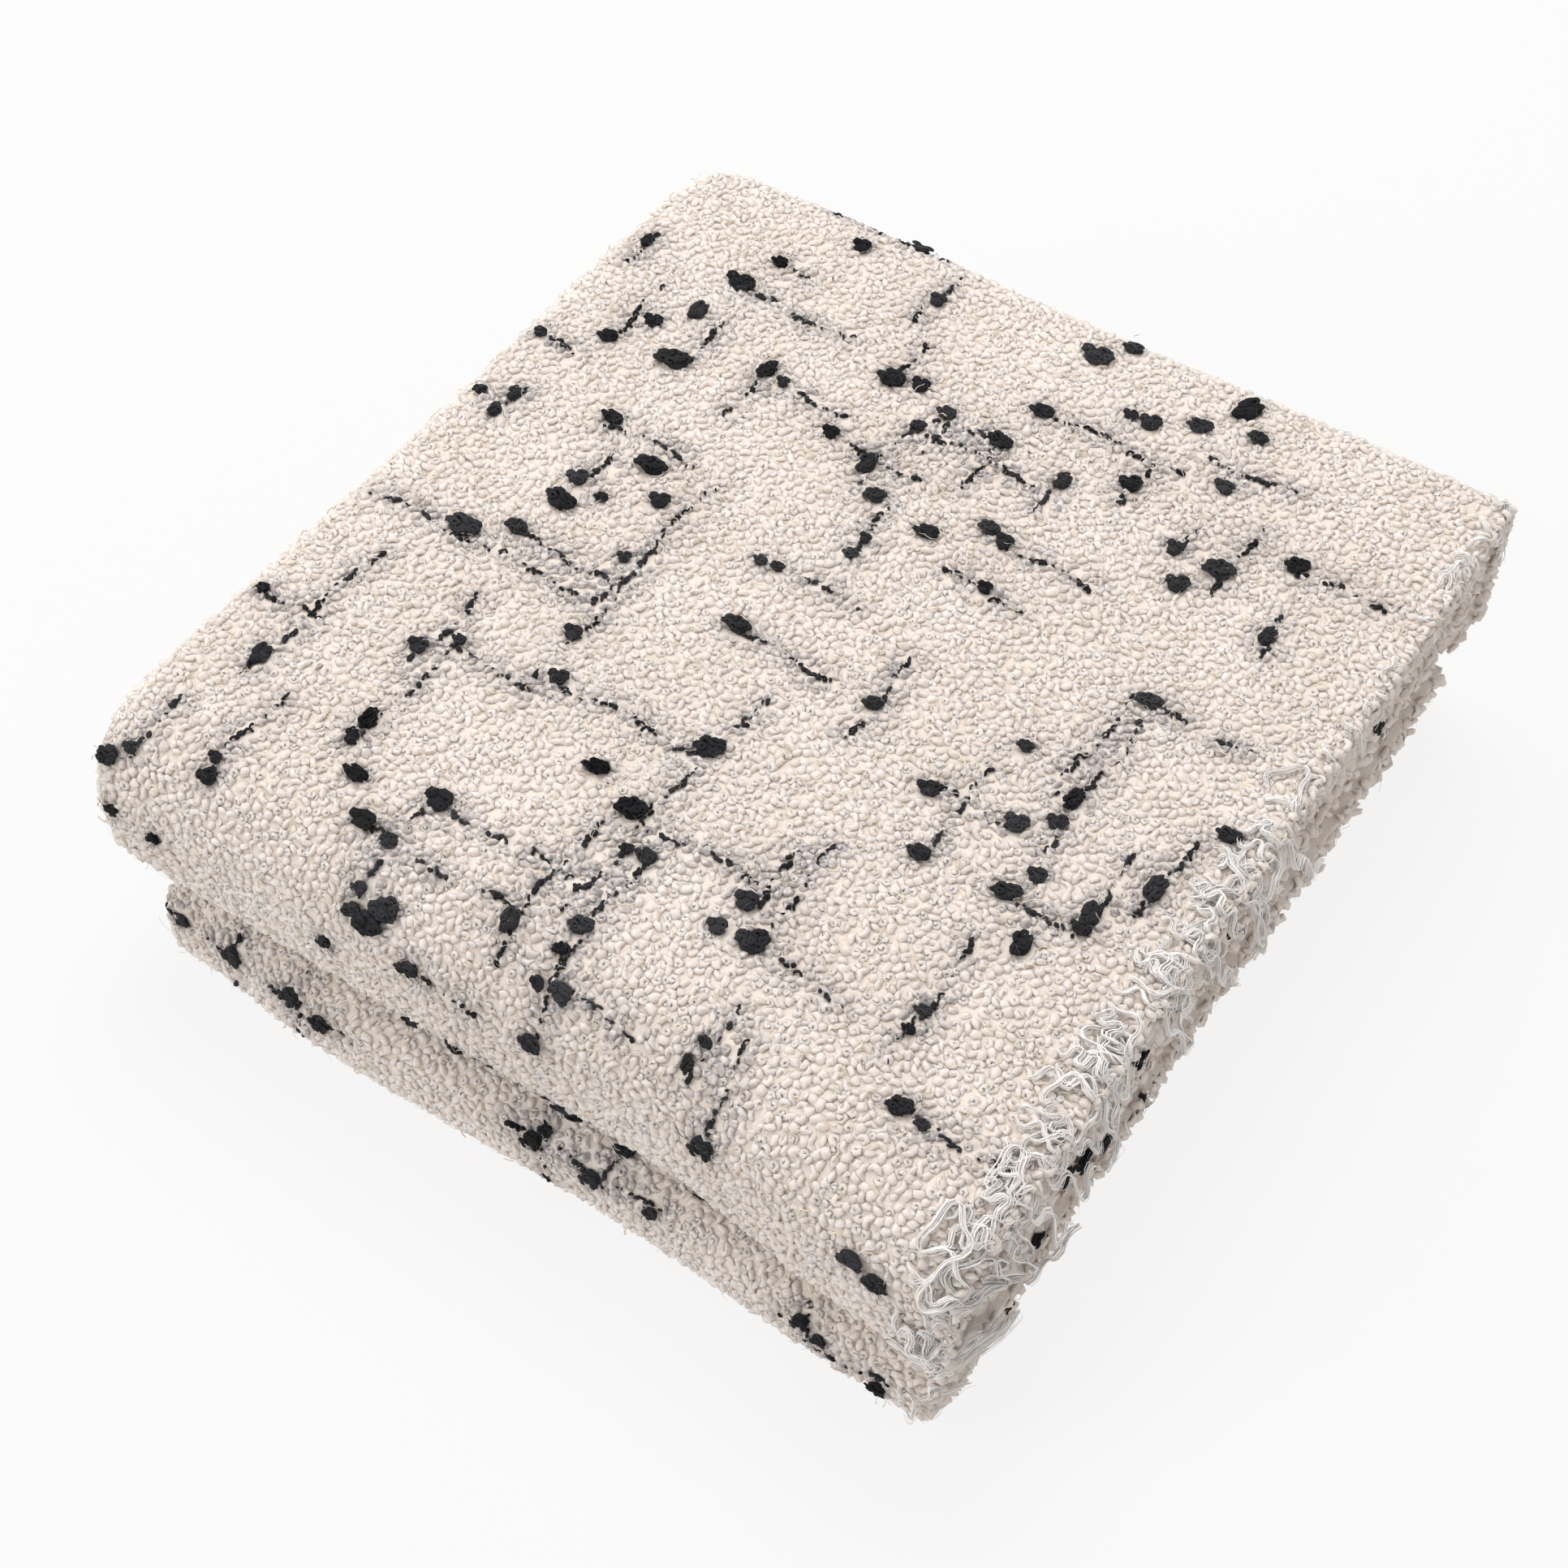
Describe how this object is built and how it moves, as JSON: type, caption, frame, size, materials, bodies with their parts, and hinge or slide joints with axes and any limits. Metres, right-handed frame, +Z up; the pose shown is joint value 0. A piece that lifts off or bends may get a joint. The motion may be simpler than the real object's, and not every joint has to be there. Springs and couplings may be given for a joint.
{
  "type": "folded throw blanket",
  "caption": "Wool boucle throw folded in thirds, then like a book, with rounded front folds, a wrapped spine, a cut yarn fringe and dark slubs; it opens at the spine.",
  "frame": {"origin": "centre of the footprint, on the surface the throw lies on", "axes": "+Z up; +X along the folds, from the closed side fold to the fringed edge; -Y is the front with the two rounded end folds, +Y the spine"},
  "size_m": [0.417, 0.44, 0.1359],
  "materials": {
    "boucle_cloth": "matt, curled cream wool boucle with dark slub yarns woven in",
    "fringe_yarn": "loose, curly, brushed off-white yarn ends"
  },
  "bodies": {
    "lower_half": {"lower_cover_outer": "boucle_cloth", "lower_cover_middle": "boucle_cloth", "lower_cover_inner": "boucle_cloth", "lower_front_fold_outer": "boucle_cloth", "lower_front_fold_middle": "boucle_cloth", "lower_front_fold_inner": "boucle_cloth", "lower_flap_outer": "boucle_cloth", "lower_flap_middle": "boucle_cloth", "lower_flap_inner": "boucle_cloth", "lower_closed_side_fold": "boucle_cloth", "lower_open_side_fold": "boucle_cloth", "lower_fringe": "fringe_yarn"},
    "spine": {"spine_outer": "boucle_cloth", "spine_middle": "boucle_cloth", "spine_inner": "boucle_cloth", "spine_closed_side_fold": "boucle_cloth", "spine_open_side_fold": "boucle_cloth", "spine_fringe": "fringe_yarn"},
    "upper_half": {"upper_cover_outer": "boucle_cloth", "upper_cover_middle": "boucle_cloth", "upper_cover_inner": "boucle_cloth", "upper_front_fold_outer": "boucle_cloth", "upper_front_fold_middle": "boucle_cloth", "upper_front_fold_inner": "boucle_cloth", "upper_flap_outer": "boucle_cloth", "upper_flap_middle": "boucle_cloth", "upper_flap_inner": "boucle_cloth", "upper_closed_side_fold": "boucle_cloth", "upper_open_side_fold": "boucle_cloth", "upper_fringe": "fringe_yarn"}
  },
  "joints": [
    {"name": "spine_lower_fold", "type": "hinge", "parent": "lower_half", "child": "spine", "pos_m": [0, 0.22, 0], "axis": [-1, 0, 0], "range_deg": [0, 90]},
    {"name": "spine_upper_fold", "type": "hinge", "parent": "spine", "child": "upper_half", "pos_m": [0, 0.22, 0.1359], "axis": [-1, 0, 0], "range_deg": [0, 90]}
  ],
  "couplings": [
    {"joint": "spine_upper_fold", "follows": "spine_lower_fold", "ratio": 1}
  ]
}
